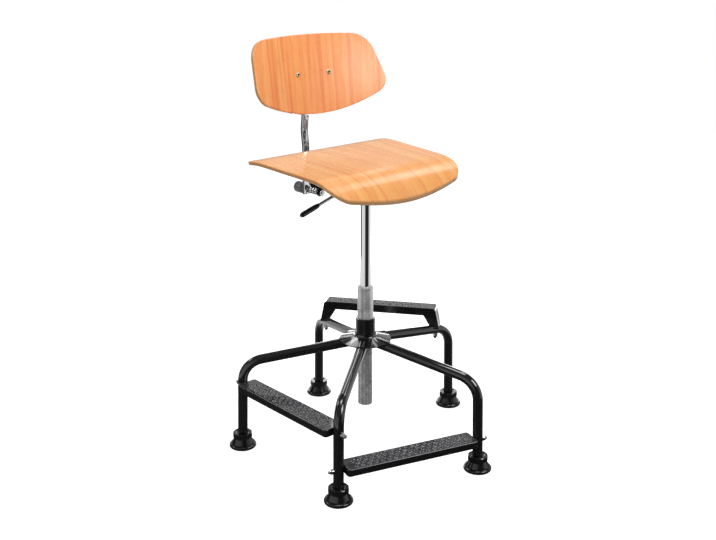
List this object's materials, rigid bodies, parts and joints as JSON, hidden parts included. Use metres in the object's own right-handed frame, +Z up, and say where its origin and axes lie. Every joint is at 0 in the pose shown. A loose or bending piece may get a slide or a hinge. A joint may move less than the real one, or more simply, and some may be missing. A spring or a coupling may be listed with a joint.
{
  "type": "swivel work chair",
  "caption": "Tall swivel work chair with moulded plywood seat and sprung backrest, gas lift column and a tube base on glides with perforated footrests.",
  "frame": {"origin": "the column axis on the floor", "axes": "+Z up, the sitter faces -Y, +X to the sitter's left"},
  "size_m": [0.6465, 0.6762, 1.0258],
  "materials": {
    "black_lacquer": "gloss",
    "black_plastic": "satin",
    "chrome": "mirror",
    "zinc": "satin zinc plate",
    "steel": "ground",
    "bush_plastic": "satin",
    "knob_plastic": "satin",
    "plywood": "clear lacquer"
  },
  "bodies": {
    "base": {"leg_1": "black_lacquer", "leg_2": "black_lacquer", "leg_3": "black_lacquer", "leg_4": "black_lacquer", "leg_5": "black_lacquer", "glide_1": "black_plastic", "glide_2": "black_plastic", "glide_3": "black_plastic", "glide_4": "black_plastic", "glide_5": "black_plastic", "hub_sleeve": "black_lacquer", "hub_cover": "black_lacquer", "stand_tube": "zinc", "guide_bush": "bush_plastic", "bearing_lower_washer": "steel", "bearing_ring": "steel", "footrest_left": "black_lacquer", "footrest_front": "black_lacquer", "footrest_rear": "black_lacquer", "footrest_bolts": "zinc", "footrest_nuts": "zinc", "arch_bolts": "zinc"},
    "gas_rod": {"piston_rod": "steel", "bearing_upper_washer": "steel", "retaining_clip": "steel"},
    "seat_frame": {"lift_tube": "chrome", "taper_socket": "black_lacquer", "socket_plate": "black_lacquer", "carrier_channel": "black_lacquer", "seat_plate": "black_lacquer", "seat_screws": "zinc", "seat_shell": "plywood", "lever_lugs": "black_lacquer", "lever_pin": "zinc", "spindle_lug": "black_lacquer", "spindle": "zinc", "spindle_nut": "zinc", "tension_spring": "steel", "bar_pivot_pin": "zinc", "pivot_spacers": "zinc"},
    "lever": {"release_lever": "chrome", "lever_grip": "black_plastic"},
    "valve": {"valve_pin": "steel"},
    "back_bar": {"back_bar": "chrome", "backrest_pin": "zinc"},
    "knob_washer": {"knob_washer": "zinc"},
    "knob": {"tension_knob": "knob_plastic"},
    "backrest": {"backrest_shell": "plywood", "backrest_bracket": "black_lacquer", "backrest_screws": "zinc", "backrest_nuts": "zinc"}
  },
  "joints": [
    {"name": "seat_swivel", "type": "hinge", "parent": "base", "child": "gas_rod", "pos_m": [0, 0, 0.1], "axis": [0, 0, 1], "continuous": true},
    {"name": "seat_lift", "type": "slide", "parent": "gas_rod", "child": "seat_frame", "axis": [0, 0, 1], "range_m": [-0.2, 0]},
    {"name": "lever_lift", "type": "hinge", "parent": "seat_frame", "child": "lever", "pos_m": [-0.012, 0, 0.7005], "axis": [0, 1, 0], "range_deg": [0, 8], "stiffness_Nm_per_rad": 3, "springref_deg": -5.73},
    {"name": "valve_press", "type": "slide", "parent": "seat_frame", "child": "valve", "axis": [0, 0, -1], "range_m": [0, 0.0021]},
    {"name": "back_tilt", "type": "hinge", "parent": "seat_frame", "child": "back_bar", "pos_m": [0, 0.226, 0.69], "axis": [-1, 0, 0], "range_deg": [0, 10], "stiffness_Nm_per_rad": 40, "springref_deg": -3.44, "deforming": ["tension_spring"]},
    {"name": "knob_travel", "type": "slide", "parent": "seat_frame", "child": "knob_washer", "axis": [0, 1, 0], "range_m": [0, 0.006]},
    {"name": "knob_turn", "type": "hinge", "parent": "knob_washer", "child": "knob", "pos_m": [0, 0.24, 0.635], "axis": [0, 1, 0], "range_deg": [0, 1440]},
    {"name": "backrest_rock", "type": "hinge", "parent": "back_bar", "child": "backrest", "pos_m": [0, 0.226, 0.93], "axis": [1, 0, 0], "range_deg": [-15, 15]}
  ],
  "couplings": [
    {"joint": "valve_press", "follows": "lever_lift", "m_per_rad": 0.0145},
    {"joint": "knob_travel", "follows": "knob_turn", "m_per_rad": 0.00023873}
  ]
}
